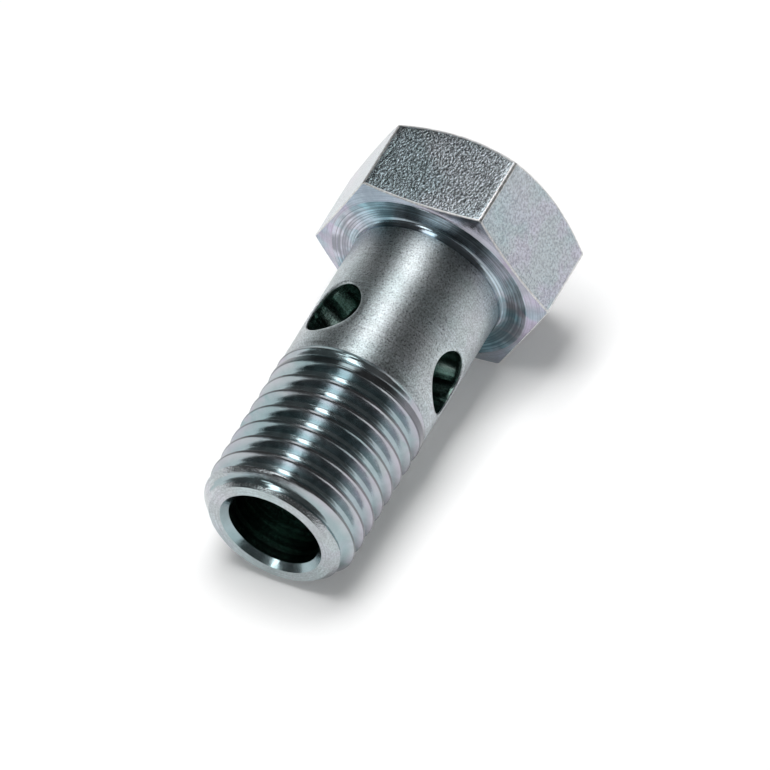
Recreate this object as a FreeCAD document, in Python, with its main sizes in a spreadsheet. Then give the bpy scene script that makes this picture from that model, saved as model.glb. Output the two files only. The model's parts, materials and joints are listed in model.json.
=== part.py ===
import FreeCAD, Part
import math
import os

import Sketcher

# Banjo bolt, turned from hexagon bar in one piece: a hexagon head chamfered at both ends,
# a plain shank with three cross holes, a right-hand fine thread with a run-out,
# and a blind bore that opens at the tip and feeds the cross holes.
# Lengths are in millimetres and angles in degrees. The body's own X axis is the bolt's axis,
# from the head's outer face to the tip, and its Z axis is square to one flat of the head.

os.makedirs("parts", exist_ok=True)
doc = FreeCAD.newDocument("banjo_bolt")

# Driving sizes
SIZES = {
    "across_flats": 13.8,
    "head_height": 6.1,
    "head_edge_radius": 0.25,
    "crown_diameter": 13.1,
    "crown_angle": 30,
    "bearing_diameter": 13.2,
    "bearing_angle": 13,
    "length_under_head": 21.25,
    "shank_diameter": 9.88,
    "shank_length": 10,
    "neck_flare": 0.35,
    "relief_depth": 0.09,
    "relief_length": 0.3,
    "lead_length": 0.35,
    "thread_diameter": 10,
    "thread_pitch": 1.25,
    "thread_flank_angle": 30,
    "thread_depth_ratio": 0.6134,
    "thread_first_groove": 1.834,
    "thread_runout_turns": 1.1,
    "tip_diameter": 8.25,
    "tip_angle": 42,
    "bore_diameter": 6,
    "bore_floor": 3.3,
    "bore_point_angle": 59,
    "countersink_diameter": 6.8,
    "countersink_depth": 0.27,
    "cross_hole_diameter": 3.9,
    "cross_hole_place": 7.05,
    "cross_hole_turn": 33,
    "cross_hole_count": 3,
    "cross_hole_deburr": 0.15,
    "overcut": 1,
}
sheet = doc.addObject("Spreadsheet::Sheet", "sizes")
for row, (word, number) in enumerate(SIZES.items(), start=1):
    sheet.set("A%d" % row, word)
    sheet.set("B%d" % row, str(number))
    sheet.setAlias("B%d" % row, word)
doc.recompute()

# Places along the axis and radii that follow from the sizes
BEARING = "sizes.head_height"
TIP = "(sizes.head_height + sizes.length_under_head)"
HEAD_REACH = "(sizes.across_flats / (2 * cos(30)) + sizes.overcut)"
CROWN_RADIUS = "sizes.crown_diameter / 2"
BEARING_RADIUS = "sizes.bearing_diameter / 2"
SHANK_RADIUS = "sizes.shank_diameter / 2"
THREAD_RADIUS = "sizes.thread_diameter / 2"
TIP_RADIUS = "sizes.tip_diameter / 2"
BORE_RADIUS = "sizes.bore_diameter / 2"
SHANK_END = "(sizes.head_height + sizes.shank_length)"
RELIEF_END = "(sizes.head_height + sizes.shank_length + sizes.relief_length)"
THREAD_BLANK = "(sizes.head_height + sizes.shank_length + sizes.relief_length + sizes.lead_length)"
TIP_CHAMFER = "(%s - (%s - %s) / tan(sizes.tip_angle))" % (TIP, THREAD_RADIUS, TIP_RADIUS)
BORE_FLOOR = "(sizes.head_height + sizes.bore_floor)"
BORE_POINT = "(%s - %s / tan(sizes.bore_point_angle))" % (BORE_FLOOR, BORE_RADIUS)
GROOVE_PLACE = "(%s + sizes.thread_first_groove)" % SHANK_END
CREST_FLAT = "(sizes.thread_pitch / 8)"
GROOVE_HALF = "(sizes.thread_pitch / 2 - %s / 2)" % CREST_FLAT
GROOVE_DEPTH = "(sizes.thread_pitch * sizes.thread_depth_ratio)"

# How near to a surface a point is taken to lie on it
CLOSE = 0.01


def size(expression):
    """Return the number that an expression on the sheet comes to."""
    found = sheet.evalExpression(expression)
    return float(getattr(found, "Value", found))


def origin_part(body, role):
    """Return the body's own origin plane or axis that has this role."""
    for part in body.Origin.OriginFeatures:
        if part.Role == role:
            return part
    raise ValueError("no origin part " + role)


def new_sketch(body, name, plane):
    """Start a sketch on one of the body's origin planes."""
    sketch = body.newObject("Sketcher::SketchObject", name)
    sketch.AttachmentSupport = [(origin_part(body, plane), "")]
    sketch.MapMode = "FlatFace"
    return sketch


def pin_point(sketch, label, edge, end, place):
    """Hold one end of an edge at a place given by two expressions."""
    for kind, mark, expression in (("DistanceX", "x", place[0]), ("DistanceY", "y", place[1])):
        value = size(expression)
        if value == 0 and kind == "DistanceY":
            sketch.addConstraint(Sketcher.Constraint("PointOnObject", edge, end, -1))
            continue
        name = label + mark
        number = sketch.addConstraint(Sketcher.Constraint(kind, -1, 1, edge, end, value))
        sketch.renameConstraint(number, name)
        sketch.setExpression("Constraints." + name, expression)


def closed_outline(sketch, label, places):
    """Draw a closed outline of straight lines through places given by expressions."""
    points = [FreeCAD.Vector(size(x), size(y), 0) for x, y in places]
    lines = [sketch.addGeometry(Part.LineSegment(start, points[(number + 1) % len(points)]))
             for number, start in enumerate(points)]
    for number, line in enumerate(lines):
        after = lines[(number + 1) % len(lines)]
        sketch.addConstraint(Sketcher.Constraint("Coincident", line, 2, after, 1))
    for number, line in enumerate(lines):
        pin_point(sketch, "%s%d" % (label, number), line, 1, places[number])


def edge_names(feature, wanted):
    """List the names of the feature's edges that pass a test."""
    return ["Edge%d" % n for n, edge in enumerate(feature.Shape.Edges, start=1) if wanted(edge)]


def turned(body, kind, name, sketch):
    """Turn a sketch once round the bolt's axis, adding or cutting."""
    feature = body.newObject(kind, name)
    feature.Profile = sketch
    feature.ReferenceAxis = (sketch, ["H_Axis"])
    feature.Angle = 360
    doc.recompute()
    return feature


def add_head(body):
    """Make the hexagon head, with one flat square to Z and its long edges slightly rounded."""
    sketch = new_sketch(body, "head_hexagon", "YZ_Plane")
    corner = size("sizes.across_flats / (2 * cos(30))")
    points = [FreeCAD.Vector(corner * math.cos(k * math.pi / 3), corner * math.sin(k * math.pi / 3), 0)
              for k in range(6)]
    round_through = sketch.addGeometry(Part.Circle(FreeCAD.Vector(), FreeCAD.Vector(0, 0, 1), corner), True)
    sketch.addConstraint(Sketcher.Constraint("Coincident", round_through, 3, -1, 1))
    sides = [sketch.addGeometry(Part.LineSegment(points[k], points[(k + 1) % 6])) for k in range(6)]
    for k in range(6):
        sketch.addConstraint(Sketcher.Constraint("Coincident", sides[k], 2, sides[(k + 1) % 6], 1))
        sketch.addConstraint(Sketcher.Constraint("PointOnObject", sides[k], 1, round_through))
    for k in range(1, 6):
        sketch.addConstraint(Sketcher.Constraint("Equal", sides[0], sides[k]))
    sketch.addConstraint(Sketcher.Constraint("PointOnObject", sides[0], 1, -1))
    number = sketch.addConstraint(Sketcher.Constraint("Radius", round_through, corner))
    sketch.renameConstraint(number, "corner")
    sketch.setExpression("Constraints.corner", "sizes.across_flats / (2 * cos(30))")

    pad = body.newObject("PartDesign::Pad", "head")
    pad.Profile = sketch
    pad.setExpression("Length", "sizes.head_height")
    doc.recompute()

    rounding = body.newObject("PartDesign::Fillet", "head_edges")
    half_height = size("sizes.head_height / 2")
    rounding.Base = (pad, edge_names(pad, lambda edge: edge.BoundBox.XLength > half_height))
    rounding.setExpression("Radius", "sizes.head_edge_radius")
    doc.recompute()


def chamfer_head(body):
    """Turn the chamfer on the head's outer face and the flatter one round its bearing face."""
    sketch = new_sketch(body, "head_chamfers", "XY_Plane")
    crown_drop = "(%s - %s) * tan(sizes.crown_angle)" % (HEAD_REACH, CROWN_RADIUS)
    closed_outline(sketch, "crown", [("0", CROWN_RADIUS), (crown_drop, HEAD_REACH), ("0", HEAD_REACH)])
    bearing_drop = "(%s - %s) * tan(sizes.bearing_angle)" % (HEAD_REACH, BEARING_RADIUS)
    closed_outline(sketch, "bearing", [(BEARING, BEARING_RADIUS), (BEARING, HEAD_REACH),
                                       ("%s - %s" % (BEARING, bearing_drop), HEAD_REACH)])
    turned(body, "PartDesign::Groove", "head_chamfer", sketch)


def add_shank(body):
    """Turn the flare under the head, the plain shank, the thread's blank and the tip chamfer."""
    sketch = new_sketch(body, "shank_outline", "XY_Plane")
    root = "%s / 2" % BEARING
    closed_outline(sketch, "shank", [
        (root, "0"),
        (root, "%s + sizes.neck_flare" % SHANK_RADIUS),
        (BEARING, "%s + sizes.neck_flare" % SHANK_RADIUS),
        ("%s + sizes.neck_flare" % BEARING, SHANK_RADIUS),
        (SHANK_END, SHANK_RADIUS),
        (RELIEF_END, "%s - sizes.relief_depth" % SHANK_RADIUS),
        (THREAD_BLANK, THREAD_RADIUS),
        (TIP_CHAMFER, THREAD_RADIUS),
        (TIP, TIP_RADIUS),
        (TIP, "0"),
    ])
    turned(body, "PartDesign::Revolution", "shank", sketch)


def cut_bore(body):
    """Drill the blind bore from the tip, with its countersunk mouth and pointed floor."""
    sketch = new_sketch(body, "bore_outline", "XY_Plane")
    closed_outline(sketch, "bore", [
        (BORE_POINT, "0"),
        (BORE_FLOOR, BORE_RADIUS),
        ("%s - sizes.countersink_depth" % TIP, BORE_RADIUS),
        (TIP, "sizes.countersink_diameter / 2"),
        ("%s + sizes.overcut" % TIP, "sizes.countersink_diameter / 2"),
        ("%s + sizes.overcut" % TIP, "0"),
    ])
    turned(body, "PartDesign::Groove", "bore", sketch)


def cut_cross_holes(body):
    """Drill the ring of cross holes from the bore out through the shank, and break their edges."""
    sketch = new_sketch(body, "cross_hole_circle", "XY_Plane")
    turn = FreeCAD.Rotation(FreeCAD.Vector(1, 0, 0), size("sizes.cross_hole_turn"))
    sketch.AttachmentOffset = FreeCAD.Placement(FreeCAD.Vector(), turn)
    sketch.setExpression("AttachmentOffset.Rotation.Angle", "sizes.cross_hole_turn")
    place = "%s + sizes.cross_hole_place" % BEARING
    across = "sizes.cross_hole_diameter"
    middle = FreeCAD.Vector(size(place), 0, 0)
    circle = sketch.addGeometry(Part.Circle(middle, FreeCAD.Vector(0, 0, 1), size(across) / 2))
    sketch.addConstraint(Sketcher.Constraint("PointOnObject", circle, 3, -1))
    for name, expression, constraint in (
            ("place", place, Sketcher.Constraint("DistanceX", -1, 1, circle, 3, size(place))),
            ("across", across, Sketcher.Constraint("Diameter", circle, size(across)))):
        sketch.renameConstraint(sketch.addConstraint(constraint), name)
        sketch.setExpression("Constraints." + name, expression)

    before = body.Shape.Volume
    hole = body.newObject("PartDesign::Pocket", "cross_hole")
    hole.Profile = sketch
    hole.setExpression("Length", "%s + sizes.overcut" % THREAD_RADIUS)
    hole.Reversed = True
    doc.recompute()
    if not hole.Shape.Volume < before:
        raise ValueError("the cross hole cuts nothing")

    ring = body.newObject("PartDesign::PolarPattern", "cross_holes")
    ring.Originals = [hole]
    ring.Axis = (origin_part(body, "X_Axis"), [""])
    ring.Angle = 360
    ring.setExpression("Occurrences", "sizes.cross_hole_count")
    body.Tip = ring
    doc.recompute()

    rims = edge_names(ring, on_cross_hole_rim)
    broken = body.newObject("PartDesign::Chamfer", "cross_hole_rims")
    broken.Base = (ring, rims)
    broken.setExpression("Size", "sizes.cross_hole_deburr")
    doc.recompute()


def on_cross_hole_rim(edge):
    """Say whether an edge is where a cross hole leaves the shank."""
    if edge.Degenerated:
        return False
    reach = size("sizes.cross_hole_diameter / 2")
    middle = size("%s + sizes.cross_hole_place" % BEARING)
    points = edge.discretize(9)
    near = all(abs(point.x - middle) < reach + CLOSE for point in points)
    outside = all(abs(math.hypot(point.y, point.z) - size(SHANK_RADIUS)) < CLOSE for point in points)
    spread = max(point.x for point in points) - min(point.x for point in points)
    return near and outside and spread > 0.1 * reach


def cut_thread(body):
    """Cut the right-hand thread out past the tip, and its shallowing run-out towards the shank."""
    above = "sizes.overcut / 4"
    flank_top = "%s + %s" % (THREAD_RADIUS, above)
    spread = "(%s + %s * tan(sizes.thread_flank_angle))" % (GROOVE_HALF, above)
    root_half = "(%s - %s * tan(sizes.thread_flank_angle))" % (GROOVE_HALF, GROOVE_DEPTH)
    root_radius = "%s - %s" % (THREAD_RADIUS, GROOVE_DEPTH)
    sketch = new_sketch(body, "thread_groove", "XY_Plane")
    closed_outline(sketch, "groove", [
        ("%s - %s" % (GROOVE_PLACE, spread), flank_top),
        ("%s - %s" % (GROOVE_PLACE, root_half), root_radius),
        ("%s + %s" % (GROOVE_PLACE, root_half), root_radius),
        ("%s + %s" % (GROOVE_PLACE, spread), flank_top),
    ])
    doc.recompute()

    thread = body.newObject("PartDesign::SubtractiveHelix", "thread")
    thread.Profile = sketch
    thread.ReferenceAxis = (sketch, ["H_Axis"])
    thread.Mode = 0
    thread.setExpression("Pitch", "sizes.thread_pitch")
    thread.setExpression("Height", "%s - %s + sizes.thread_pitch" % (TIP, GROOVE_PLACE))
    thread.LeftHanded = False
    doc.recompute()

    runout = body.newObject("PartDesign::SubtractiveHelix", "thread_runout")
    runout.Profile = sketch
    runout.ReferenceAxis = (sketch, ["H_Axis"])
    runout.Mode = 1
    runout.setExpression("Pitch", "sizes.thread_pitch")
    runout.setExpression("Turns", "sizes.thread_runout_turns")
    climb = "%s / (sizes.thread_pitch * sizes.thread_runout_turns)" % GROOVE_DEPTH
    runout.setExpression("Angle", "atan(%s)" % climb)
    runout.LeftHanded = False
    runout.Reversed = True
    doc.recompute()


def lay_down(body):
    """Lay the bolt on the floor, on one flat's edge and on the last full crest of the thread."""
    flat = size("sizes.across_flats / 2")
    cone_length = "(sizes.across_flats / 2 - %s) * tan(sizes.bearing_angle)" % BEARING_RADIUS
    head_touch = size("%s - %s" % (BEARING, cone_length))
    pitch = size("sizes.thread_pitch")
    lowest_crest = "%s + sizes.thread_pitch * (3 / 4 + 1 / 2)" % GROOVE_PLACE
    crest_end = size("%s + %s / 2" % (lowest_crest, CREST_FLAT))
    chamfer_start = size(TIP_CHAMFER)
    tip_touch = crest_end + pitch * math.floor((chamfer_start - crest_end) / pitch)
    if tip_touch + pitch - size(CREST_FLAT) < chamfer_start:
        tip_touch = chamfer_start
    radius = size(THREAD_RADIUS)
    tilt = math.atan((flat - radius) / (tip_touch - head_touch))
    lift = head_touch * math.sin(tilt) + flat * math.cos(tilt)
    back = -size(CROWN_RADIUS) * math.sin(tilt)
    front = size(TIP) * math.cos(tilt) + size(TIP_RADIUS) * math.sin(tilt)
    body.Placement = FreeCAD.Placement(
        FreeCAD.Vector(-(back + front) / 2, 0, lift),
        FreeCAD.Rotation(FreeCAD.Vector(0, 1, 0), math.degrees(tilt)))
    doc.recompute()


def check_and_export(body):
    """Stop on anything that failed, then write the body's solid."""
    for item in doc.Objects:
        if "Invalid" in item.State or "Error" in item.State:
            raise ValueError("%s failed: %s" % (item.Name, item.State))
    shape = body.Shape
    if shape.isNull() or not shape.isValid() or len(shape.Solids) != 1:
        raise ValueError("the bolt is not one valid solid")
    shape.exportStep("parts/%s.step" % body.Label)
    box = shape.BoundBox
    print("solid", round(shape.Volume, 2), "mm3, box", round(box.XLength, 3), round(box.YLength, 3),
          round(box.ZLength, 3), "lowest", round(box.ZMin, 4), "middle", round(box.XMin + box.XMax, 4))


bolt = doc.addObject("PartDesign::Body", "banjo_bolt")
bolt.Label = "banjo_bolt"
add_head(bolt)
chamfer_head(bolt)
add_shank(bolt)
cut_bore(bolt)
cut_cross_holes(bolt)
cut_thread(bolt)
lay_down(bolt)
check_and_export(bolt)
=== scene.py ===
"""Dresses the banjo bolt: its detailed skin, its zinc finishes, and a pale studio to see it in."""
import json
import logging
import math
from dataclasses import dataclass, field
from enum import Enum, IntEnum
from typing import ClassVar

import bmesh
import bpy
from mathutils import Matrix, Quaternion, Vector

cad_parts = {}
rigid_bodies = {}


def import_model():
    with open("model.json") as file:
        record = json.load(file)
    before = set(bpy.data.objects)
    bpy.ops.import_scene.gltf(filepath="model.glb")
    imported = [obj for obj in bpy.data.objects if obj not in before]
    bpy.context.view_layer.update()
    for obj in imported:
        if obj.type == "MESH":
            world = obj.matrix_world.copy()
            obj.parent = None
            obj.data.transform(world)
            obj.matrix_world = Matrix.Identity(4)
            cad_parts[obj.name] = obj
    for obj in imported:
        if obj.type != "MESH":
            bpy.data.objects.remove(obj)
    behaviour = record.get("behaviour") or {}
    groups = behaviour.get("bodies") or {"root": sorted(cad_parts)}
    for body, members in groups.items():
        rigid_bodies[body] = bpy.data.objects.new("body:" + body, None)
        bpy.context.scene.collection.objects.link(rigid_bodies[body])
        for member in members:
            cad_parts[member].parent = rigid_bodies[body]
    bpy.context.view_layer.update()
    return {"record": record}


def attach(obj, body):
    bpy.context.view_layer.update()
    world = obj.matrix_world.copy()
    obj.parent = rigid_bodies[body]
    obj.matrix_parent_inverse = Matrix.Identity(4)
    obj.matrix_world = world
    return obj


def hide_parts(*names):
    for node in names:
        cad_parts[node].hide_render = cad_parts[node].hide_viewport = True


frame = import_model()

logging.basicConfig(level=logging.INFO, format="%(message)s")
log = logging.getLogger("banjo_bolt")

MM = 0.001
TURN = 2 * math.pi
FLOAT = "NodeSocketFloat"
VECTOR = "NodeSocketVector"
COLOUR = "NodeSocketColor"


class Region(IntEnum):
    """The bolt's surfaces, each with its own finish, in the order of the skin's material slots."""

    HEXAGON = 0
    BEARING = 1
    SHANK = 2
    THREAD = 3
    TIP = 4
    BORE = 5
    EDGE = 6
    CONE = 7


class MarkPath(Enum):
    """Which way one turning mark follows the other, by the name of the socket that measures it."""

    ALONG_AXIS = "Along"
    OUT_FROM_AXIS = "Radius"


@dataclass(frozen=True)
class Corner:
    """One corner of a turned outline: its place along the axis, its radius from it and its rounding."""

    along: float
    radius: float
    rounding: float = 0.0
    steps: int = 1


def mount(name: str) -> dict:
    """Return the record's mount of this name, with its place, axis and dims."""
    return next(m for m in frame["record"]["mounts"] if m["name"] == name)


def rounded_outline(corners: list[Corner]) -> list[tuple[float, float]]:
    """Turn corners into outline points, with an arc at each corner that has a rounding.

    Args:
        corners: the outline's corners in order; the first and last stay sharp.

    Returns:
        Points as (place along the axis, radius).
    """
    points: list[tuple[float, float]] = []
    for number, corner in enumerate(corners):
        here = Vector((corner.along, corner.radius))
        if corner.rounding == 0.0 or number in (0, len(corners) - 1):
            points.append((here.x, here.y))
            continue
        before = Vector((corners[number - 1].along, corners[number - 1].radius)) - here
        after = Vector((corners[number + 1].along, corners[number + 1].radius)) - here
        before.normalize()
        after.normalize()
        half = before.angle(after) / 2
        middle = here + (before + after).normalized() * (corner.rounding / math.sin(half))
        start = here + before * (corner.rounding / math.tan(half)) - middle
        end = here + after * (corner.rounding / math.tan(half)) - middle
        sweep = start.angle_signed(end)
        for step in range(corner.steps + 1):
            arm = start.copy()
            arm.rotate(Matrix.Rotation(-sweep * step / corner.steps, 2))
            points.append((middle.x + arm.x, middle.y + arm.y))
    return points


def smooth_least(first: float, second: float, blend: float) -> float:
    """Return the lesser of two lengths, rounded over where they come nearer than the blend."""
    near = max(blend - abs(first - second), 0.0) / blend
    return min(first, second) - near * near * blend / 4


@dataclass
class BoltSizes:
    """The bolt's sizes in metres and radians, on its own axis from the head's outer face to the tip."""

    head_height: float = 6.1 * MM
    length_under_head: float = 21.25 * MM
    shank_length: float = 10.0 * MM
    neck_fillet: float = 0.45 * MM
    relief_depth: float = 0.09 * MM
    relief_length: float = 0.3 * MM
    lead_length: float = 0.35 * MM
    tip_radius: float = 4.125 * MM
    tip_slope: float = math.radians(42)
    blank_blend: float = 0.02 * MM
    cross_hole_place: float = 7.05 * MM
    cross_hole_turn: float = math.radians(3)
    cross_hole_count: int = 3
    belt_reach: float = 2.6 * MM
    columns: int = 192
    shank_radius: float = field(default_factory=lambda: mount("banjo_seat")["dims"]["r_mm"] * MM)
    thread_radius: float = field(default_factory=lambda: mount("thread")["dims"]["r_mm"] * MM)
    bore_radius: float = field(default_factory=lambda: mount("axial_bore")["dims"]["r_mm"] * MM)

    @property
    def tip(self) -> float:
        """Place of the tip's end face."""
        return self.head_height + self.length_under_head

    @property
    def shank_end(self) -> float:
        """Place where the plain shank ends."""
        return self.head_height + self.shank_length

    @property
    def relief_end(self) -> float:
        """Place where the thread's blank starts to rise."""
        return self.shank_end + self.relief_length

    @property
    def tip_chamfer(self) -> float:
        """Place where the tip's chamfer starts."""
        return self.tip - (self.thread_radius - self.tip_radius) / math.tan(self.tip_slope)

    @property
    def hole_place(self) -> float:
        """Place of the ring of cross holes."""
        return self.head_height + self.cross_hole_place

    @property
    def belt_start(self) -> float:
        """Place where the belt of cross holes starts."""
        return self.hole_place - self.belt_reach

    @property
    def belt_end(self) -> float:
        """Place where the belt of cross holes ends."""
        return self.hole_place + self.belt_reach

    def blank(self, along: float) -> float:
        """Return the radius of the turned blank before the thread is cut.

        Args:
            along: a place on the axis.

        Returns:
            The blank's radius there.
        """
        foot = self.shank_radius - self.relief_depth
        rise = (self.thread_radius - foot) / self.lead_length
        lead = foot + (along - self.relief_end) * rise
        taper = self.tip_radius + (self.tip - along) * math.tan(self.tip_slope)
        risen = smooth_least(self.thread_radius, lead, self.blank_blend)
        return smooth_least(risen, taper, self.blank_blend)


class BoltPlace:
    """Where the bolt lies: the frame's mounts turned into a matrix from the bolt's own axes."""

    def __init__(self, sizes: BoltSizes) -> None:
        """Work out the matrix from the seat's axis and the bearing face.

        Args:
            sizes: the bolt's sizes.
        """
        seat = mount("banjo_seat")
        along = Vector(seat["axis"]).normalized()
        across = Vector((0, 1, 0))
        up = along.cross(across)
        middle = Vector(seat["pos_m"])
        face = Vector(mount("bearing_face")["pos_m"])
        start = middle + along * ((face - middle).dot(along) - sizes.head_height)
        self.matrix = Matrix((along, across, up)).transposed().to_4x4()
        self.matrix.translation = start


class Lathe:
    """Turns outlines and rings round the bolt's own X axis into one growing mesh."""

    SLICES = 8
    WELD = 0.002 * MM
    SHORTEST_EDGE = 0.001 * MM
    CREASE = math.radians(40)

    def __init__(self, sizes: BoltSizes) -> None:
        """Start an empty mesh.

        Args:
            sizes: the bolt's sizes.
        """
        self.sizes = sizes
        self.mesh = bmesh.new()
        self.marked = 0

    def mark(self, region: Region) -> None:
        """Give the faces made since the last mark to a region.

        Args:
            region: the region that they belong to.
        """
        self.mesh.faces.ensure_lookup_table()
        for face in self.mesh.faces[self.marked:]:
            face.material_index = region
        self.marked = len(self.mesh.faces)

    def outline(self, points: list[tuple[float, float]]) -> list[bmesh.types.BMEdge]:
        """Lay an outline in the half plane at the first column's angle.

        Args:
            points: places as (along the axis, radius).

        Returns:
            The outline's edges.
        """
        turn = Matrix.Rotation(self.sizes.cross_hole_turn, 3, "X")
        corners = [self.mesh.verts.new(turn @ Vector((along, radius, 0))) for along, radius in points]
        return [self.mesh.edges.new(pair) for pair in zip(corners, corners[1:])]

    def spin(self, points: list[tuple[float, float]], advance: float = 0.0) -> list[bmesh.types.BMVert]:
        """Turn an outline once round the axis, one slice by spinning and the rest as its copies.

        Args:
            points: places as (along the axis, radius).
            advance: how far the outline moves along the axis in the whole turn.

        Returns:
            The new vertices.
        """
        edges = self.outline(points)
        corners = list({v for e in edges for v in e.verts})
        known = len(self.mesh.verts) - len(corners)
        steps = self.sizes.columns // self.SLICES
        bmesh.ops.spin(self.mesh, geom=corners + edges, cent=(0, 0, 0), axis=(1, 0, 0), steps=steps,
                       angle=TURN / self.SLICES, dvec=(advance / self.sizes.columns, 0, 0))
        self.mesh.verts.ensure_lookup_table()
        made = self.mesh.verts[known:]
        piece = list({g for v in made for g in (v, *v.link_edges, *v.link_faces)})
        for number in range(1, self.SLICES):
            copy = bmesh.ops.duplicate(self.mesh, geom=piece)["geom"]
            copied = [g for g in copy if isinstance(g, bmesh.types.BMVert)]
            share = number / self.SLICES
            moved = Matrix.Translation((advance * share, 0, 0)) @ Matrix.Rotation(TURN * share, 4, "X")
            bmesh.ops.transform(self.mesh, matrix=moved, verts=copied)
            made += copied
        return made

    def sleeve(self, rings: int) -> list[list[bmesh.types.BMVert]]:
        """Make a grid to be rolled into a sleeve, whose two long sides meet in a seam that finish welds.

        Args:
            rings: how many rings the sleeve has.

        Returns:
            The rings, each as its vertices in order, the last of them where the first is.
        """
        columns = self.sizes.columns
        across = columns + 1
        grid = bmesh.ops.create_grid(self.mesh, x_segments=columns, y_segments=rings - 1, size=1.0)
        rows = sorted(grid["verts"], key=lambda v: (round(v.co.y * rings), v.co.x))
        return [rows[number * across:(number + 1) * across] for number in range(rings)]

    @staticmethod
    def fill_between(rings: list[list[bmesh.types.BMVert]]) -> None:
        """Spread the rings between the first and the last evenly.

        Args:
            rings: the rings, of which the first and the last are in place.
        """
        for number, ring in enumerate(rings[1:-1], start=1):
            share = number / (len(rings) - 1)
            for vertex, start, end in zip(ring, rings[0], rings[-1]):
                vertex.co = start.co.lerp(end.co, share)

    def number_by_place(self) -> None:
        """Number the vertices, edges and faces by their places, because spin leaves them in any order."""
        for number, vertex in enumerate(sorted(self.mesh.verts, key=lambda v: v.co[:])):
            vertex.index = number
        self.mesh.verts.sort()
        for parts in (self.mesh.edges, self.mesh.faces):
            placed = sorted(parts, key=lambda part: sorted(v.index for v in part.verts))
            for number, part in enumerate(placed):
                part.index = number
            parts.sort()

    def finish(self, name: str, matrix: Matrix) -> bpy.types.Object:
        """Weld the mesh, face it outwards, put it in place and make it an object.

        Args:
            name: the object's name.
            matrix: where the bolt lies.

        Returns:
            The new object, at the origin, with its place in its mesh.
        """
        bmesh.ops.remove_doubles(self.mesh, verts=self.mesh.verts[:], dist=self.WELD)
        bmesh.ops.dissolve_degenerate(self.mesh, edges=self.mesh.edges[:], dist=self.SHORTEST_EDGE)
        self.number_by_place()
        bmesh.ops.recalc_face_normals(self.mesh, faces=self.mesh.faces[:])
        bmesh.ops.transform(self.mesh, matrix=matrix, verts=self.mesh.verts[:])
        open_edges = sum(1 for e in self.mesh.edges if not e.is_manifold)
        data = bpy.data.meshes.new(name)
        self.mesh.to_mesh(data)
        self.mesh.free()
        data.shade_smooth()
        data.set_sharp_from_angle(angle=self.CREASE)
        piece = bpy.data.objects.new(name, data)
        bpy.context.scene.collection.objects.link(piece)
        crisp = piece.modifiers.new("crisp_normals", "WEIGHTED_NORMAL")
        crisp.keep_sharp = True
        triangles = sum(len(p.vertices) - 2 for p in data.polygons)
        log.info("%s: %d triangles, %d open edges", name, triangles, open_edges)
        return piece


@dataclass
class TurnedPart:
    """One sub-assembly of the bolt, made on the lathe that they share."""

    lathe: Lathe

    @property
    def sizes(self) -> BoltSizes:
        """The bolt's sizes."""
        return self.lathe.sizes

    def build(self) -> None:
        """Add the sub-assembly's surfaces to the lathe's mesh."""
        raise NotImplementedError


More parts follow.
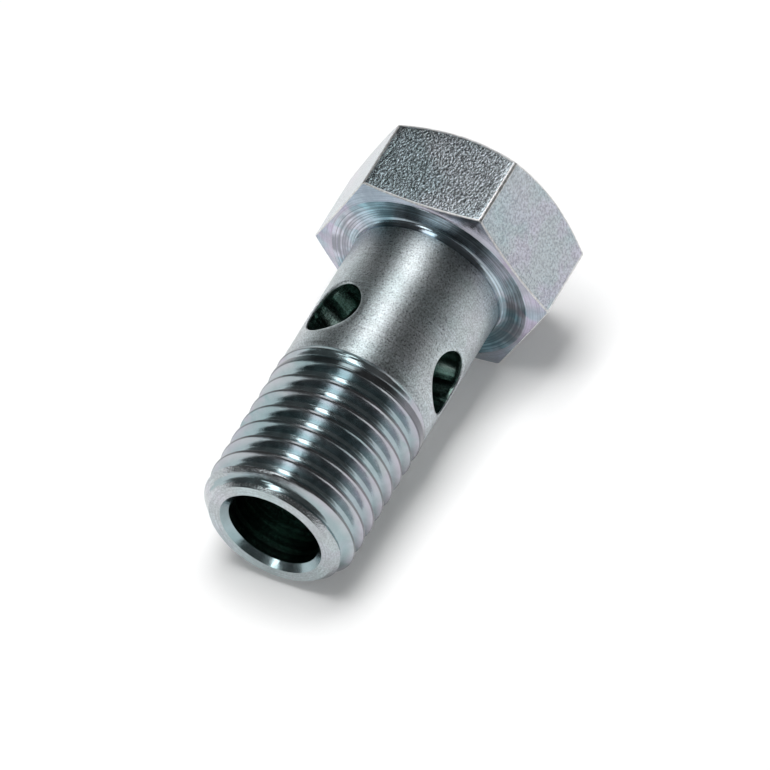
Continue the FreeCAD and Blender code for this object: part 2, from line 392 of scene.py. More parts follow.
@dataclass
class HexagonHead(TurnedPart):
    """The hexagon head: a crown, six flats with rounded edges, a cone and a turned bearing ring."""

    EDGE_COLUMNS: ClassVar[int] = 3
    CROWN_STEPS: ClassVar[int] = 3
    EDGE_STEPS: ClassVar[int] = 4
    # The outline's points on a flat's upper edge, on the flat with its edges, and on its lower edge.
    UPPER_EDGE_RINGS: ClassVar[range] = range(6, 11)
    FLAT_RINGS: ClassVar[range] = range(6, 19)
    LOWER_EDGE_RINGS: ClassVar[range] = range(14, 19)
    CONE_RING: ClassVar[int] = 18
    BEARING_RING: ClassVar[int] = 19

    across_flats: float = 13.8 * MM
    edge_radius: float = 0.25 * MM
    crown_radius: float = 6.55 * MM
    crown_slope: float = math.radians(30)
    crown_rounding: float = 0.2 * MM
    crown_middle_share: float = 0.7
    flat_shares: tuple[float, ...] = (0.2, 0.5, 0.8)
    lower_rounding: float = 0.1 * MM
    bearing_radius: float = 6.6 * MM
    bearing_slope: float = math.radians(13)
    bearing_step: float = 0.03 * MM
    bearing_border: float = 0.3 * MM

    def reach(self, angle: float) -> float:
        """Return how far the hexagon stands from the axis at an angle.

        Args:
            angle: the angle from the first corner.

        Returns:
            The distance from the axis to a flat or to the rounded edge between two flats.
        """
        flat = self.across_flats / 2
        rounding = self.edge_radius
        sixth = TURN / 6
        from_corner = (angle + sixth / 2) % sixth - sixth / 2
        if abs(from_corner) > self.edge_angle:
            return flat / math.cos(sixth / 2 - abs(from_corner))
        centre = (flat - rounding) / math.cos(sixth / 2)
        aside = centre * math.sin(from_corner)
        return centre * math.cos(from_corner) + math.sqrt(rounding ** 2 - aside ** 2)

    @property
    def edge_angle(self) -> float:
        """Half the angle that a rounded edge takes up, seen from the axis."""
        half_width = (self.across_flats / 2 - self.edge_radius) * math.tan(TURN / 12)
        return TURN / 12 - math.atan(half_width / (self.across_flats / 2))

    def column_angle(self, number: int) -> float:
        """Return a column's angle, with columns drawn together at the rounded edges.

        Args:
            number: the column, counted from the first corner.

        Returns:
            Its angle.
        """
        each = self.sizes.columns // 6
        side, place = divmod(number, each)
        mirrored = min(place, each - place)
        if mirrored <= self.EDGE_COLUMNS:
            angle = self.edge_angle * mirrored / self.EDGE_COLUMNS
        else:
            share = (mirrored - self.EDGE_COLUMNS) / (each / 2 - self.EDGE_COLUMNS)
            angle = self.edge_angle + (TURN / 12 - self.edge_angle) * share
        if place > each / 2:
            angle = TURN / 6 - angle
        return side * TURN / 6 + angle

    def is_on_rounded_edge(self, ring: int, column: int) -> bool:
        """Tell whether a point lies on one of the rounded edges round a flat.

        Args:
            ring: the point's number in the outline.
            column: the point's column.

        Returns:
            True on a rounded edge.
        """
        side = self.sizes.columns // 6
        upright = min(column % side, -column % side) <= self.EDGE_COLUMNS
        level = ring in self.UPPER_EDGE_RINGS or ring in self.LOWER_EDGE_RINGS
        return level or (upright and ring in self.FLAT_RINGS)

    def outline(self, angle: float) -> list[tuple[float, float]]:
        """Return the head's outline at an angle, from the crown to the neck.

        Args:
            angle: the angle from the first corner.

        Returns:
            Points as (along the axis, radius).
        """
        reach = self.reach(angle)
        face = self.sizes.head_height
        low = face - self.bearing_step
        top = (reach - self.crown_radius) * math.tan(self.crown_slope)
        bottom = low - (reach - self.bearing_radius) * math.tan(self.bearing_slope)
        return rounded_outline([
            Corner(0.0, 0.0),
            Corner(0.0, self.crown_radius * self.crown_middle_share),
            Corner(0.0, self.crown_radius, self.crown_rounding, self.CROWN_STEPS),
            Corner(top, reach, self.crown_rounding, self.EDGE_STEPS),
            *(Corner(top + (bottom - top) * share, reach) for share in self.flat_shares),
            Corner(bottom, reach, self.lower_rounding, self.EDGE_STEPS),
            Corner(low, self.bearing_radius),
            Corner(face, self.bearing_radius - self.bearing_step),
            Corner(face, self.bearing_radius - self.bearing_border),
        ])

    def build(self) -> None:
        """Shape a sleeve into the head, close its crown and carry its bearing face to the neck."""
        sizes = self.sizes
        lathe = self.lathe
        rings = lathe.sleeve(len(self.outline(0.0)))
        for number in range(sizes.columns + 1):
            angle = self.column_angle(number)
            for ring, (along, radius) in zip(rings, self.outline(angle)):
                ring[number].co = (along, radius * math.cos(angle), radius * math.sin(angle))
        lathe.mark(Region.HEXAGON)
        # Painted highlight: the rounded edges round the flats get the lighter edge finish.
        edge_tone = {v for number, ring in enumerate(rings) for column, v in enumerate(ring)
                if self.is_on_rounded_edge(number, column)}
        cone = {v for ring in rings[self.CONE_RING:] for v in ring}
        turned = {v for ring in rings[self.BEARING_RING:] for v in ring}
        for region, covered in ((Region.EDGE, edge_tone), (Region.CONE, cone), (Region.BEARING, turned)):
            for face in lathe.mesh.faces:
                if covered.issuperset(face.verts):
                    face.material_index = region
        inner, neck = lathe.sleeve(2)
        reach = sizes.shank_radius + sizes.neck_fillet
        step = TURN / sizes.columns
        lag = round(sizes.cross_hole_turn / step)
        for number, (start, end) in enumerate(zip(inner, neck)):
            angle = sizes.cross_hole_turn + step * (number - lag)
            start.co = rings[-1][number].co
            end.co = (sizes.head_height, reach * math.cos(angle), reach * math.sin(angle))
        lathe.mark(Region.BEARING)


@dataclass
class DrilledShank(TurnedPart):
    """The fillet under the head, the plain shank, and the belt that the cross holes go through."""

    SKIN_RINGS: ClassVar[int] = 9
    WALL_RINGS: ClassVar[int] = 6
    FILLET_STEPS: ClassVar[int] = 8
    END_STEPS: ClassVar[int] = 3

    fillet_share: float = 0.999
    end_rounding: float = 0.05 * MM
    cross_hole_radius: float = 1.95 * MM
    cross_hole_deburr: float = 0.14 * MM
    lip_width_share: float = 0.3
    lip_depth_share: float = 0.35

    def build(self) -> None:
        """Turn the plain lengths and drill the belt."""
        sizes = self.sizes
        fillet = sizes.neck_fillet
        neck = rounded_outline([
            Corner(sizes.head_height, sizes.shank_radius + fillet),
            Corner(sizes.head_height, sizes.shank_radius, fillet * self.fillet_share, self.FILLET_STEPS),
            Corner(sizes.belt_start, sizes.shank_radius),
        ])
        self.lathe.spin(neck[:-1])
        self.lathe.mark(Region.BEARING)
        self.lathe.spin(neck[-2:])
        self.lathe.spin(rounded_outline([
            Corner(sizes.belt_end, sizes.shank_radius),
            Corner(sizes.shank_end, sizes.shank_radius, self.end_rounding, self.END_STEPS),
            Corner(sizes.relief_end, sizes.shank_radius - sizes.relief_depth),
        ]))
        self.lathe.mark(Region.SHANK)
        for number in range(sizes.cross_hole_count):
            self.drill(TURN * number / sizes.cross_hole_count)

    def border(self, ring: list[bmesh.types.BMVert], radius: float) -> None:
        """Spread a ring over the border of one hole's share of the belt.

        Args:
            ring: the ring's vertices, in order.
            radius: radius of the round surface that the belt lies on.
        """
        reach = self.sizes.belt_reach
        half = TURN / 2 / self.sizes.cross_hole_count
        side = TURN / 2 - 2 * half
        for number, vertex in enumerate(ring):
            turn = (TURN * number / self.sizes.columns + half) % TURN - half
            if turn <= half:
                vertex.co = (reach, radius * math.sin(turn), 0)
            elif turn < half + side:
                along = reach * (1 - 2 * (turn - half) / side)
                vertex.co = (along, radius * math.sin(half), 0)
            elif turn <= half + side + 2 * half:
                vertex.co = (-reach, radius * math.sin(TURN / 2 - turn), 0)
            else:
                along = -reach * (1 - 2 * (turn - TURN / 2 - half) / side)
                vertex.co = (along, -radius * math.sin(half), 0)

    def circle(self, ring: list[bmesh.types.BMVert], radius: float) -> None:
        """Shape a ring into a hole's circle, seen along the hole.

        Args:
            ring: the ring's vertices, in order.
            radius: the circle's radius.
        """
        for number, vertex in enumerate(ring):
            turn = TURN * number / self.sizes.columns
            vertex.co = (radius * math.cos(turn), radius * math.sin(turn), 0)

    def drop(self, rings: list[list[bmesh.types.BMVert]], radius: float, sink: float = 0.0) -> None:
        """Drop flat rings along the hole on to a round surface of this radius, or sink them below it."""
        for vertex in [v for ring in rings for v in ring]:
            vertex.co.z = math.sqrt(max(radius ** 2 - vertex.co.y ** 2, 0.0)) - sink

    def drill(self, turn: float) -> None:
        """Make one hole with its broken rim and its share of the shank and of the bore.

        Args:
            turn: the hole's angle from the first hole.
        """
        sizes = self.sizes
        lathe = self.lathe
        hole = self.cross_hole_radius
        broken = self.cross_hole_deburr
        known = len(lathe.mesh.verts)

        outside = lathe.sleeve(self.SKIN_RINGS + 2)
        *skin, lip, edge = outside
        self.border(skin[0], sizes.shank_radius)
        self.circle(skin[-1], hole + broken)
        self.circle(lip, hole + broken * self.lip_width_share)
        self.circle(edge, hole)
        lathe.fill_between(skin)
        self.drop(skin, sizes.shank_radius)
        self.drop([lip], sizes.shank_radius, broken * self.lip_depth_share)
        self.drop([edge], sizes.shank_radius, broken)
        lathe.mark(Region.SHANK)

        wall = lathe.sleeve(self.WALL_RINGS)
        lining = lathe.sleeve(self.WALL_RINGS)
        for ring in (wall[0], wall[-1], lining[0]):
            self.circle(ring, hole)
        self.drop(wall[:1], sizes.shank_radius, broken)
        self.drop(wall[-1:], sizes.bore_radius)
        lathe.fill_between(wall)
        self.border(lining[-1], sizes.bore_radius)
        lathe.fill_between(lining)
        self.drop(lining, sizes.bore_radius)
        lathe.mark(Region.BORE)

        lathe.mesh.verts.ensure_lookup_table()
        made = lathe.mesh.verts[known:]
        aside = Matrix.Rotation(turn + sizes.cross_hole_turn - TURN / 4, 4, "X")
        moved = Matrix.Translation((sizes.hole_place, 0, 0)) @ aside
        bmesh.ops.transform(lathe.mesh, matrix=moved, verts=made)


@dataclass
class CutThread(TurnedPart):
    """The right-hand thread, its run-out at the shank, and the chamfer that tapers it at the tip."""

    ROOT_STEPS: ClassVar[int] = 8
    CREST_STEPS: ClassVar[int] = 3
    FLANK_STEPS: ClassVar[int] = 4
    FLANK_LEAST: ClassVar[float] = 0.25
    GROOVES_BEFORE: ClassVar[int] = 3
    CREST_MIDDLE: ClassVar[float] = 0.5001

    pitch: float = 1.25 * MM
    flank_angle: float = math.radians(30)
    groove_share: float = 0.91
    root_radius: float = 0.3 * MM
    crest_radius: float = 0.045 * MM
    crest_seam: float = 0.025 * MM
    first_groove: float = 1.834 * MM
    runout_turns: float = 1.1

    @property
    def groove_half(self) -> float:
        """Half the width of the groove at its crests."""
        return self.pitch * self.groove_share / 2

    @property
    def groove_reach(self) -> float:
        """Depth of the groove if its flanks met in a sharp root."""
        return self.groove_half / math.tan(self.flank_angle)

    @property
    def groove_depth(self) -> float:
        """Depth of the rounded groove."""
        return self.groove_reach - self.root_radius

    @property
    def start(self) -> float:
        """Place of the first full groove at the first column."""
        sizes = self.sizes
        return sizes.shank_end + self.first_groove + self.pitch * sizes.cross_hole_turn / TURN

    def groove(self, centre: float) -> list[tuple[float, float]]:
        """Return one groove's outline, from one crest's middle up to the next.

        Args:
            centre: the groove's place.

        Returns:
            Points as (along, radius), without the next crest's middle.
        """
        half = self.groove_half
        crest = self.sizes.thread_radius
        points = rounded_outline([
            Corner(centre - self.pitch / 2, crest - self.crest_seam),
            Corner(centre - half, crest, self.crest_radius, self.CREST_STEPS),
            Corner(centre, crest - self.groove_reach, self.root_radius, self.ROOT_STEPS),
            Corner(centre + half, crest, self.crest_radius, self.CREST_STEPS),
            Corner(centre + self.pitch / 2, crest - self.crest_seam),
        ])
        finer: list[tuple[float, float]] = []
        for (along, radius), (next_along, next_radius) in zip(points, points[1:]):
            is_flank = abs(next_radius - radius) > self.groove_reach * self.FLANK_LEAST
            steps = self.FLANK_STEPS if is_flank else 1
            for step in range(steps):
                share = step / steps
                finer.append((
                    along + (next_along - along) * share, radius + (next_radius - radius) * share))
        return finer

    def build(self) -> None:
        """Spin the row of grooves along the helix, then shape the run-out, the lead and the chamfer."""
        sizes = self.sizes
        end_groove = math.ceil((sizes.tip - self.start) / self.pitch) + 1
        points: list[tuple[float, float]] = []
        for number in range(-self.GROOVES_BEFORE, end_groove):
            points += self.groove(self.start + self.pitch * number)
        points.append((self.start + self.pitch * (end_groove - 0.5), sizes.thread_radius - self.crest_seam))

        made = self.lathe.spin(points, advance=self.pitch)
        for vertex in made:
            self.shape(vertex)
        self.lathe.mark(Region.THREAD)
        for face in {f for v in made if v.co.x > sizes.tip_chamfer for f in v.link_faces}:
            middle = face.calc_center_median()
            if math.hypot(middle.y, middle.z) > sizes.blank(middle.x) - sizes.blank_blend:
                face.material_index = Region.TIP

    def shape(self, vertex: bmesh.types.BMVert) -> None:
        """Move one vertex of the thread to where the run-out, the lead and the chamfer put it.

        Args:
            vertex: the vertex, on the full thread's helix.
        """
        sizes = self.sizes
        along = vertex.co.x
        radius = math.hypot(vertex.co.y, vertex.co.z)
        angle = (math.atan2(vertex.co.z, vertex.co.y) - sizes.cross_hole_turn) % TURN
        ahead = (along - self.start) / self.pitch
        turns = math.floor(ahead - angle / TURN + self.CREST_MIDDLE) + angle / TURN
        rise = self.groove_depth * max(-turns, 0.0) / self.runout_turns
        place = min(max(along, sizes.relief_end), sizes.tip)
        limit = sizes.blank(place)
        new = limit if place != along else smooth_least(radius + rise, limit, sizes.blank_blend)
        scale = new / radius
        vertex.co = (place, vertex.co.y * scale, vertex.co.z * scale)


@dataclass
class BoredTip(TurnedPart):
    """The tip's end face, its countersink, the bore and the bore's pointed floor."""

    countersink_radius: float = 3.4 * MM
    countersink_depth: float = 0.4 * MM
    bore_floor: float = 3.3 * MM
    bore_point: float = math.radians(59)

    def build(self) -> None:
        """Turn the end face, the countersink, and the bore on each side of the belt of cross holes."""
        sizes = self.sizes
        bore = sizes.bore_radius
        mouth = sizes.tip - self.countersink_depth
        floor = sizes.head_height + self.bore_floor
        point = floor - bore / math.tan(self.bore_point)
        self.lathe.spin([(sizes.tip, sizes.blank(sizes.tip)), (sizes.tip, self.countersink_radius)])
        self.lathe.mark(Region.TIP)
        self.lathe.spin([(sizes.tip, self.countersink_radius), (mouth, bore)])
        self.lathe.mark(Region.THREAD)
        self.lathe.spin([(mouth, bore), (sizes.belt_end, bore)])
        self.lathe.spin([(sizes.belt_start, bore), (floor, bore), (point, 0.0)])
        self.lathe.mark(Region.BORE)


class Nodes:
    """Short calls for building a shader's or a group's nodes."""

    def __init__(self, tree: bpy.types.NodeTree) -> None:
        """Keep the node tree to fill, and empty it."""
        self.tree = tree
        tree.nodes.clear()

    def add(self, kind: str, **settings: object) -> bpy.types.Node:
        """Add a node and set its properties.

        Args:
            kind: the node's type name.
            settings: properties of the node.

        Returns:
            The node.
        """
        node = self.tree.nodes.new(kind)
        for name, value in settings.items():
            setattr(node, name, value)
        return node

    def feed(self, node: bpy.types.Node, **inputs: object) -> bpy.types.Node:
        """Give a node's inputs their numbers or the sockets that drive them.

        Args:
            node: the node.
            inputs: socket names, with spaces written as underscores, or i0, i1 and so on for its place.

        Returns:
            The same node.
        """
        for name, value in inputs.items():
            key = int(name[1:]) if name[1:].isdigit() else name.replace("_", " ")
            socket = node.inputs[key]
            if isinstance(value, bpy.types.NodeSocket):
                self.tree.links.new(value, socket)
            else:
                socket.default_value = value
        return node

    def maths(self, operation: str, first: object, second: object = 0.0,
              third: object = 0.0) -> bpy.types.NodeSocket:
        """Add a maths node fed with up to three values or sockets, and return its result."""
        node = self.add("ShaderNodeMath", operation=operation)
        return self.feed(node, i0=first, i1=second, i2=third).outputs[0]

    def ramp(self, value: bpy.types.NodeSocket, low: float, high: float, to_low: float = 0.0,
             to_high: float = 1.0) -> bpy.types.NodeSocket:
        """Map a value smoothly from the range low to high on to the range to_low to to_high."""
        node = self.add("ShaderNodeMapRange", interpolation_type="SMOOTHSTEP")
        return self.feed(node, i0=value, i1=low, i2=high, i3=to_low, i4=to_high).outputs[0]

    def mix(self, share: object, first: object, second: object) -> bpy.types.NodeSocket:
        """Mix two colours or sockets, with this share of the second, and return the colour."""
        node = self.add("ShaderNodeMix", data_type="RGBA", clamp_factor=True)
        return self.feed(node, i0=share, i6=first, i7=second).outputs[2]

    def noise(self, place: bpy.types.NodeSocket, scale: object, **inputs: float) -> bpy.types.NodeSocket:
        """Add a noise that is read at a place, and return its value."""
        node = self.add("ShaderNodeTexNoise")
        return self.feed(node, Vector=place, Scale=scale, **inputs).outputs[0]


@dataclass(frozen=True)
class ZincFinish:
    """How one region of the zinc plate looks: its colours, its gloss and the marks that it carries."""

    base: tuple[float, float, float, float] = (0.45, 0.49, 0.505, 1)
    teal: tuple[float, float, float, float] = (0.36, 0.47, 0.48, 1)
    violet: tuple[float, float, float, float] = (0.475, 0.45, 0.515, 1)
    tint: float = 0.6
    roughness: float = 0.24
    roughness_spread: float = 0.05
    grain_size: float = 0.12 * MM
    grain_height: float = 0.004 * MM
    speckle: float = 0.08
    mark_spacing: float = 0.11 * MM
    mark_height: float = 0.0
    mark_contrast: float = 0.0
    mark_path: MarkPath = MarkPath.ALONG_AXIS
    # Painted shade with a teal tint: how far the colour turns to the darker teal towards the groove roots.
    root_shade_tint: float = 0.0
    # How much darker the thread's crests are made.
    crest_dimming: float = 0.0


FINISHES = {
    Region.HEXAGON: ZincFinish(
        base=(0.415, 0.455, 0.485, 1), teal=(0.35, 0.44, 0.47, 1), violet=(0.455, 0.43, 0.52, 1),
        tint=0.7, roughness=0.17, grain_size=0.15 * MM, grain_height=0.016 * MM, speckle=0.24),
    # Turned zinc, bluer, with its base painted darker as shade where the ring reflects the shadow under the
    # bolt.
    Region.BEARING: ZincFinish(
        base=(0.36, 0.43, 0.48, 1), teal=(0.2, 0.35, 0.41, 1), tint=0.9, roughness=0.15,
        grain_height=0.002 * MM, speckle=0.04, mark_spacing=0.14 * MM, mark_height=0.014 * MM,
        mark_contrast=0.4, mark_path=MarkPath.OUT_FROM_AXIS),
    Region.SHANK: ZincFinish(
        tint=0.3, roughness=0.32, grain_size=0.1 * MM, grain_height=0.018 * MM, speckle=0.29,
        mark_spacing=0.16 * MM, mark_height=0.012 * MM, mark_contrast=0.1),
    Region.THREAD: ZincFinish(
        base=(0.45, 0.48, 0.505, 1), teal=(0.29, 0.4, 0.42, 1), tint=0.9, roughness=0.19,
        grain_size=0.7 * MM, grain_height=0.006 * MM, speckle=0.05, root_shade_tint=0.65, crest_dimming=0.6),
    Region.TIP: ZincFinish(
        tint=0.5, roughness=0.18, grain_size=0.13 * MM, grain_height=0.02 * MM, speckle=0.15,
        mark_height=0.004 * MM, mark_contrast=0.1, mark_path=MarkPath.OUT_FROM_AXIS),
    # Painted shade: the holes and the bore get a darker base, on top of their greener passivation tint.
    Region.BORE: ZincFinish(
        base=(0.29, 0.39, 0.36, 1), teal=(0.15, 0.3, 0.25, 1), violet=(0.23, 0.31, 0.3, 1),
        roughness=0.2, mark_spacing=0.36 * MM, mark_height=0.03 * MM, mark_contrast=0.5),
    # Painted highlight: a lighter, less tinted grey along the head's rounded edges.
    Region.EDGE: ZincFinish(
        base=(0.66, 0.66, 0.66, 1), tint=0.1, roughness=0.34, grain_size=0.14 * MM,
        grain_height=0.03 * MM, speckle=0.2),
    # Smooth turned cone, bluer, with its base painted darker as shade where it reflects the shadow under
    # the bolt.
    Region.CONE: ZincFinish(
        base=(0.395, 0.4, 0.46, 1), teal=(0.31, 0.385, 0.45, 1), violet=(0.44, 0.385, 0.5, 1),
        tint=0.9, roughness=0.15, grain_size=0.3 * MM, grain_height=0.004 * MM, speckle=0.05,
        mark_height=0.004 * MM, mark_contrast=0.15, mark_path=MarkPath.OUT_FROM_AXIS),
}


class ZincEffects:
    """Node groups that the zinc materials share; each range maps a noise or a radius to a share."""

    # Radii of the thread's roots, shoulders and crests: painted shade darkens the roots, and the crests are
    # darkened.
    ROOT_RADIUS = 4.45 * MM
    SHOULDER_RADIUS = 4.93 * MM
    CREST_RADIUS = 4.975 * MM
    TEAL_SCALE = 210.0
    TEAL_RANGE = (0.42, 0.6)
    VIOLET_SCALE = 520.0
    VIOLET_RANGE = (0.4, 0.62)
    # Range of how far aside a point is, over which the violet is painted as a grazing sheen.
    SIDE_RANGE = (0.45, 0.95, 0.1, 0.85)
    FADE_SCALE = 700.0
    FADE_RANGE = (0.3, 0.7, 0.5, 1.0)
    SPECKLE_RANGE = (0.36, 0.64)
    MARK_RANGE = (0.2, 0.6)
    GLOSS_RANGE = (0.3, 0.7)

    def __init__(self, place: BoltPlace) -> None:
        """Build the groups once.

        Args:
            place: where the bolt lies.
        """
        self.place = place
        self.space = self.make_space()
        self.tint = self.make_tint()
        self.marks = self.make_marks()
        self.grain = self.make_grain()

    @staticmethod
    def new_group(
            name: str, inputs: dict[str, str],
            outputs: dict[str, str]) -> tuple[Nodes, bpy.types.NodeOutputs, bpy.types.Node]:
        """Start a node group with its sockets.

        Args:
            name: the group's name.
            inputs: socket types by name.
            outputs: socket types by name.

        Returns:
            The group's nodes, the sockets that give what was put in, and its output node.
        """
        tree = bpy.data.node_groups.new(name, "ShaderNodeTree")
        for side, sockets in (("INPUT", inputs), ("OUTPUT", outputs)):
            for label, kind in sockets.items():
                tree.interface.new_socket(label, in_out=side, socket_type=kind)
        nodes = Nodes(tree)
        return nodes, nodes.add("NodeGroupInput").outputs, nodes.add("NodeGroupOutput")

    def make_space(self) -> bpy.types.NodeTree:
        """Build the group that gives a point's place along the axis, its radius and how far aside it is.

        Returns:
            The node group.
        """
        nodes, _, out = self.new_group("bolt_space", {}, {
            "Along": FLOAT, "Radius": FLOAT, "Side": FLOAT, "Place": VECTOR})
        point = nodes.add("ShaderNodeTexCoord").outputs["Object"]
        start = self.place.matrix.translation
        axis = self.place.matrix.to_3x3().col[0]
        moved = nodes.feed(
            nodes.add("ShaderNodeVectorMath", operation="SUBTRACT"), i0=point, i1=start).outputs[0]
        along, whole = (
            nodes.feed(nodes.add("ShaderNodeVectorMath", operation="DOT_PRODUCT"), i0=moved, i1=other)
            .outputs["Value"] for other in (axis, moved))
        radius = nodes.maths("SQRT", nodes.maths("SUBTRACT", whole, nodes.maths("MULTIPLY", along, along)))
        across = nodes.feed(nodes.add("ShaderNodeSeparateXYZ"), Vector=point).outputs["Y"]
        side = nodes.maths("DIVIDE", nodes.maths("ABSOLUTE", across), radius)
        nodes.feed(out, Along=along, Radius=radius, Side=side, Place=point)
        return nodes.tree

    def make_tint(self) -> bpy.types.NodeTree:
        """Build the group that drifts the passivated zinc between base, teal and a violet painted as sheen
        on the sides.

        Returns:
            The node group.
        """
        nodes, given, out = self.new_group("passivation_tint_and_side_sheen", {
            "Place": VECTOR, "Side": FLOAT, "Base": COLOUR, "Teal": COLOUR, "Violet": COLOUR,
            "Amount": FLOAT}, {"Color": COLOUR})
        broad = nodes.noise(given["Place"], self.TEAL_SCALE, Detail=2.0)
        fine = nodes.noise(given["Place"], self.VIOLET_SCALE, Detail=3.0, Distortion=0.6)
        teal = nodes.maths("MULTIPLY", nodes.ramp(broad, *self.TEAL_RANGE), given["Amount"])
        # Painted sheen: the random violet patches show only on the bolt's sides, where the view grazes the
        # metal, in place of the plate's iridescence.
        sides = nodes.ramp(given["Side"], *self.SIDE_RANGE)
        patches = nodes.ramp(fine, *self.VIOLET_RANGE)
        violet = nodes.maths("MULTIPLY", nodes.maths("MULTIPLY", patches, sides), given["Amount"])
        colour = nodes.mix(teal, given["Base"], given["Teal"])
        nodes.feed(out, Color=nodes.mix(violet, colour, given["Violet"]))
        return nodes.tree

    def make_marks(self) -> bpy.types.NodeTree:
        """Build the group that gives the height of the fine rings that turning leaves.

        Returns:
            The node group.
        """
        nodes, given, out = self.new_group("turning_marks", {
            "Position": FLOAT, "Spacing": FLOAT, "Place": VECTOR}, {"Height": FLOAT})
        steps = nodes.maths("DIVIDE", given["Position"], given["Spacing"])
        rings = nodes.feed(nodes.add("ShaderNodeTexNoise", noise_dimensions="1D"), W=steps, Scale=1.0,
                           Detail=2.0)
        faded = nodes.ramp(nodes.noise(given["Place"], self.FADE_SCALE), *self.FADE_RANGE)
        nodes.feed(out, Height=nodes.maths("MULTIPLY", rings.outputs[0], faded))
        return nodes.tree

    def make_grain(self) -> bpy.types.NodeTree:
        """Build the group that gives the height of the plate's crystalline grain.

        Returns:
            The node group.
        """
        nodes, given, out = self.new_group("plate_grain", {
            "Place": VECTOR, "Size": FLOAT}, {"Height": FLOAT})
        scale = nodes.maths("DIVIDE", 1.0, given["Size"])
        nodes.feed(out, Height=nodes.noise(given["Place"], scale, Detail=3.0, Roughness=0.6))
        return nodes.tree

    def material(self, region: Region, finish: ZincFinish) -> bpy.types.Material:
        """Make one region's material.

        Args:
            region: the region.
            finish: its finish.

        Returns:
            The material.
        """
        material = bpy.data.materials.new("zinc_" + region.name.lower())
        material.use_nodes = True
        nodes = Nodes(material.node_tree)
        space = nodes.add("ShaderNodeGroup", node_tree=self.space).outputs
        tint = nodes.feed(
            nodes.add("ShaderNodeGroup", node_tree=self.tint), Place=space["Place"], Side=space["Side"],
            Base=finish.base, Teal=finish.teal, Violet=finish.violet, Amount=finish.tint)
        grain = nodes.feed(nodes.add("ShaderNodeGroup", node_tree=self.grain), Place=space["Place"],
                           Size=finish.grain_size).outputs[0]
        bump = nodes.feed(nodes.add("ShaderNodeBump"), Height=grain, Distance=finish.grain_height,
                          Strength=1.0)
        light = nodes.ramp(grain, *self.SPECKLE_RANGE, 1 - finish.speckle, 1 + finish.speckle)
        if finish.mark_height:
            marks = nodes.feed(
                nodes.add("ShaderNodeGroup", node_tree=self.marks), Position=space[finish.mark_path.value],
                Spacing=finish.mark_spacing, Place=space["Place"]).outputs[0]
            bump = nodes.feed(nodes.add("ShaderNodeBump"), Height=marks, Distance=finish.mark_height,
                              Strength=1.0, Normal=bump.outputs[0])
            contrast = finish.mark_contrast
            rings = nodes.ramp(marks, *self.MARK_RANGE, 1 - contrast, 1 + contrast)
            light = nodes.maths("MULTIPLY", light, rings)
        gloss = nodes.ramp(grain, *self.GLOSS_RANGE, finish.roughness - finish.roughness_spread,
                           finish.roughness + finish.roughness_spread)
        coat = tint.outputs[0]
        if finish.crest_dimming:
            radius = space["Radius"]
            # Painted shade: the colour turns darker and tealer towards the groove roots, on top of the teal
            # passivation.
            depth = nodes.ramp(radius, self.ROOT_RADIUS, self.SHOULDER_RADIUS, finish.root_shade_tint, 0.0)
            coat = nodes.mix(depth, coat, finish.teal)
            # The thread's crests are made darker.
            edge_tone = nodes.ramp(radius, self.SHOULDER_RADIUS, self.CREST_RADIUS, 1.0, 1 - finish.crest_dimming)
            light = nodes.maths("MULTIPLY", light, edge_tone)
        colour = nodes.feed(nodes.add("ShaderNodeVectorMath", operation="SCALE"), i0=coat, Scale=light)
        shader = nodes.feed(nodes.add("ShaderNodeBsdfPrincipled"), Base_Color=colour.outputs[0],
                            Metallic=1.0, Roughness=gloss, Normal=bump.outputs[0])
        nodes.feed(nodes.add("ShaderNodeOutputMaterial"), Surface=shader.outputs[0])
        return material


@dataclass(frozen=True)
class SoftLight:
    """One rectangular soft light, hung level over the bolt or turned to face it."""

    name: str
    place: tuple[float, float, float]
    size: tuple[float, float]
    radiance: float
    seen_in_metal: bool = True
    lights_floor: bool = True
    faces_bolt: bool = False

    def hang(self) -> None:
        """Add the light to the scene."""
        lamp = bpy.data.lights.new(self.name, "AREA")
        lamp.shape = "RECTANGLE"
        lamp.size, lamp.size_y = self.size
        lamp.energy = self.radiance * self.size[0] * self.size[1] * math.pi
        holder = bpy.data.objects.new(self.name, lamp)
        holder.location = self.place
        holder.visible_glossy = self.seen_in_metal
        holder.visible_diffuse = self.lights_floor
        if self.faces_bolt:
            holder.rotation_euler = Vector(self.place).to_track_quat("Z", "Y").to_euler()
        bpy.context.scene.collection.objects.link(holder)


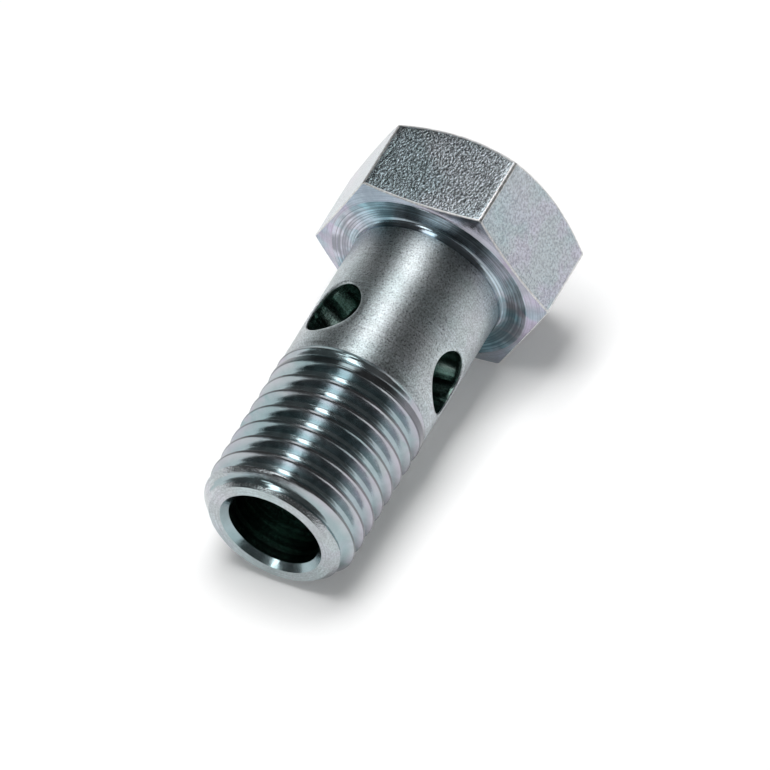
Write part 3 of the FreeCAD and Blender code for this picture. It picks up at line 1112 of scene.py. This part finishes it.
@dataclass
class Studio:
    """The plain studio: a white floor, three soft lights, a pale world and the camera."""

    target: tuple[float, float, float] = (0.793 * MM, 1.147 * MM, 5.805 * MM)
    azimuth: float = math.radians(29.76)
    elevation: float = math.radians(46.46)
    roll: float = math.radians(-3.92)
    distance: float = 0.51234
    lens: float = 397.4
    sensor_width: float = 36.0
    nearest: float = 0.01
    lamps: tuple[SoftLight, ...] = (
        SoftLight("top_light", (-0.04, -0.058, 0.5), (1.02, 0.15), 3.9, lights_floor=False),
        SoftLight("floor_light", (0.02, -0.035, 0.5), (0.38, 0.24), 9.3, seen_in_metal=False),
        SoftLight("front_light", (0.42, -0.137, 0.23), (0.09, 0.09), 4.0, lights_floor=False,
                  faces_bolt=True),
    )
    floor_size: float = 4.0
    floor_front: float = 0.14
    floor_colour: tuple[float, float, float, float] = (0.88, 0.88, 0.88, 1)
    floor_roughness: float = 0.9
    glow_range: tuple[float, float, float, float] = (0.05, 0.4, 0.14, 0.8)
    fill: float = 0.19
    room_lean: float = 0.25
    room_range: tuple[float, float, float, float] = (-0.2, 0.35, 1.0, 0.08)

    def build(self) -> None:
        """Set the stage, in order: the floor, the lights, the world, the camera and the view."""
        self.add_floor()
        for lamp in self.lamps:
            lamp.hang()
        self.set_world()
        self.add_camera()
        bpy.context.scene.view_settings.view_transform = "Standard"

    def add_floor(self) -> None:
        """Lay the white floor."""
        mesh = bmesh.new()
        bmesh.ops.create_grid(mesh, x_segments=1, y_segments=1, size=self.floor_size / 2)
        back = Matrix.Translation((self.floor_front - self.floor_size / 2, 0, 0))
        bmesh.ops.transform(mesh, matrix=back, verts=mesh.verts[:])
        data = bpy.data.meshes.new("studio_floor")
        mesh.to_mesh(data)
        mesh.free()
        floor = bpy.data.objects.new("studio_floor", data)
        bpy.context.scene.collection.objects.link(floor)
        material = bpy.data.materials.new("white_floor")
        material.use_nodes = True
        nodes = Nodes(material.node_tree)
        path = nodes.add("ShaderNodeLightPath").outputs
        seen = nodes.maths("MAXIMUM", path["Is Camera Ray"], path["Is Glossy Ray"])
        away = nodes.feed(nodes.add("ShaderNodeVectorMath", operation="LENGTH"),
                          i0=nodes.add("ShaderNodeTexCoord").outputs["Object"]).outputs["Value"]
        glow = nodes.ramp(away, *self.glow_range)
        shader = nodes.feed(
            nodes.add("ShaderNodeBsdfPrincipled"), Base_Color=self.floor_colour,
            Roughness=self.floor_roughness, Specular_IOR_Level=0.0, Emission_Color=(1, 1, 1, 1),
            Emission_Strength=nodes.maths("MULTIPLY", seen, glow))
        nodes.feed(nodes.add("ShaderNodeOutputMaterial"), Surface=shader.outputs[0])
        data.materials.append(material)

    def set_world(self) -> None:
        """Light the floor and the bolt evenly, and let the metal reflect a dim room above the floor."""
        world = bpy.data.worlds.new("studio_world")
        bpy.context.scene.world = world
        world.use_nodes = True
        nodes = Nodes(world.node_tree)
        path = nodes.add("ShaderNodeLightPath").outputs
        toward = nodes.feed(nodes.add("ShaderNodeSeparateXYZ"),
                            Vector=nodes.add("ShaderNodeTexCoord").outputs["Generated"]).outputs
        height = nodes.maths("MULTIPLY_ADD", toward["X"], self.room_lean, toward["Z"])
        mirrored = nodes.ramp(height, *self.room_range)
        room = nodes.maths("SUBTRACT", mirrored, self.fill)
        strength = nodes.maths("MULTIPLY_ADD", path["Is Glossy Ray"], room, self.fill)
        strength = nodes.maths("MAXIMUM", strength, path["Is Camera Ray"])
        light = nodes.feed(nodes.add("ShaderNodeBackground"), Color=(1, 1, 1, 1), Strength=strength)
        nodes.feed(nodes.add("ShaderNodeOutputWorld"), Surface=light.outputs[0])

    def add_camera(self) -> None:
        """Put the camera where the photograph was taken from."""
        aim = Vector((math.cos(self.elevation) * math.cos(self.azimuth),
                      math.cos(self.elevation) * math.sin(self.azimuth), math.sin(self.elevation)))
        camera = bpy.data.cameras.new("photo_camera")
        camera.lens = self.lens
        camera.sensor_width = self.sensor_width
        camera.clip_start = self.nearest
        holder = bpy.data.objects.new("photo_camera", camera)
        turn = aim.to_track_quat("Z", "Y") @ Quaternion((0, 0, 1), self.roll)
        holder.rotation_euler = turn.to_euler()
        holder.location = Vector(self.target) + aim * self.distance
        bpy.context.scene.collection.objects.link(holder)
        bpy.context.scene.camera = holder


def main() -> None:
    """Build the bolt's sub-assemblies into one skin, give it its finishes and set the studio."""
    for stray in list(bpy.context.scene.collection.all_objects):
        if stray.name in ("Cube", "Light", "Camera"):
            bpy.data.objects.remove(stray)
    sizes = BoltSizes()
    place = BoltPlace(sizes)
    lathe = Lathe(sizes)
    for part in (HexagonHead(lathe), DrilledShank(lathe), CutThread(lathe), BoredTip(lathe)):
        part.build()
        log.info("%s: built, %d faces so far", type(part).__name__, len(lathe.mesh.faces))
    skin = lathe.finish("bolt_skin", place.matrix)
    effects = ZincEffects(place)
    for region in Region:
        skin.data.materials.append(effects.material(region, FINISHES[region]))
    log.info("%s: dressed in %d finishes", skin.name, len(skin.data.materials))
    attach(skin, "root")
    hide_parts("banjo_bolt")
    studio = Studio()
    studio.build()
    log.info("studio: floor, %d lights, world and camera", len(studio.lamps))


if __name__ == "__main__":
    main()
